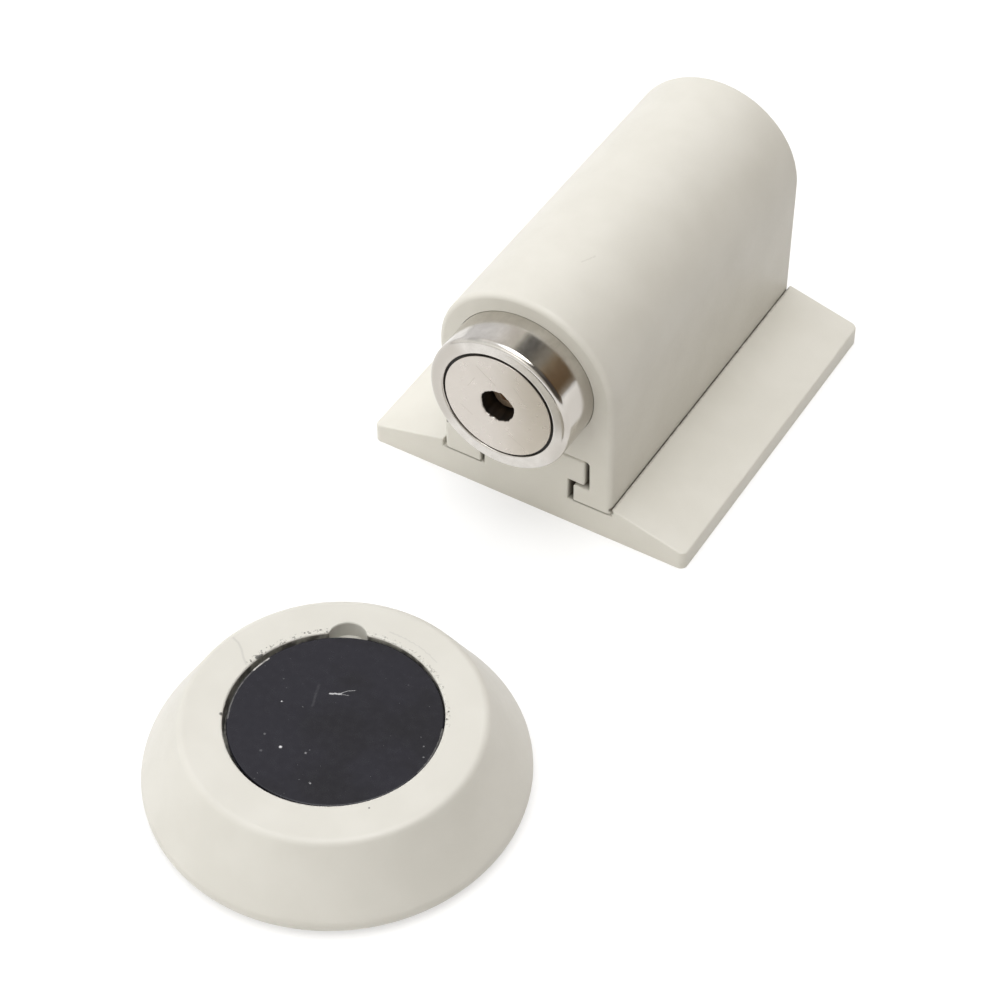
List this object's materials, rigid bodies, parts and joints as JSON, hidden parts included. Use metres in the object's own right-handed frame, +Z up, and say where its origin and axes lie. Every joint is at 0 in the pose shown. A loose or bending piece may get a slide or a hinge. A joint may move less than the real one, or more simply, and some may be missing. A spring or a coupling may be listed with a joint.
{
  "type": "magnetic door stop",
  "caption": "Floor-mounted door stop with a cup magnet on a slide-on housing, and a round keeper with a black steel strike disc for the door.",
  "frame": {"origin": "middle of the floor plate's underside", "axes": "+Y from the magnet's side towards the closed back of the housing, +Z up from the floor, +X to the right as seen from the magnet's side"},
  "size_m": [0.0646, 0.1586, 0.0459],
  "materials": {
    "paint": "satin warm light grey paint with a fine texture",
    "keeper_paint": "satin warm light grey paint with a few scuffs and grime spots",
    "plated_cup": "bright nickel plating, mirror-like",
    "plated_magnet": "satin nickel plating, scuffed, chipped at the hole",
    "bond": "matt black bonding compound",
    "dark_screw": "blackened steel",
    "black_disc": "smooth black lacquer with fine scratches and specks",
    "adhesive": "white foam adhesive pad"
  },
  "bodies": {
    "root": {"base_plate": "paint", "housing": "paint", "magnet_pot": "plated_cup", "ring_magnet": "plated_magnet", "bond_ring": "bond", "magnet_screw": "dark_screw", "housing_set_screw": "dark_screw", "keeper_ring": "keeper_paint", "strike_disc": "black_disc", "strike_pad": "adhesive"}
  },
  "joints": []
}
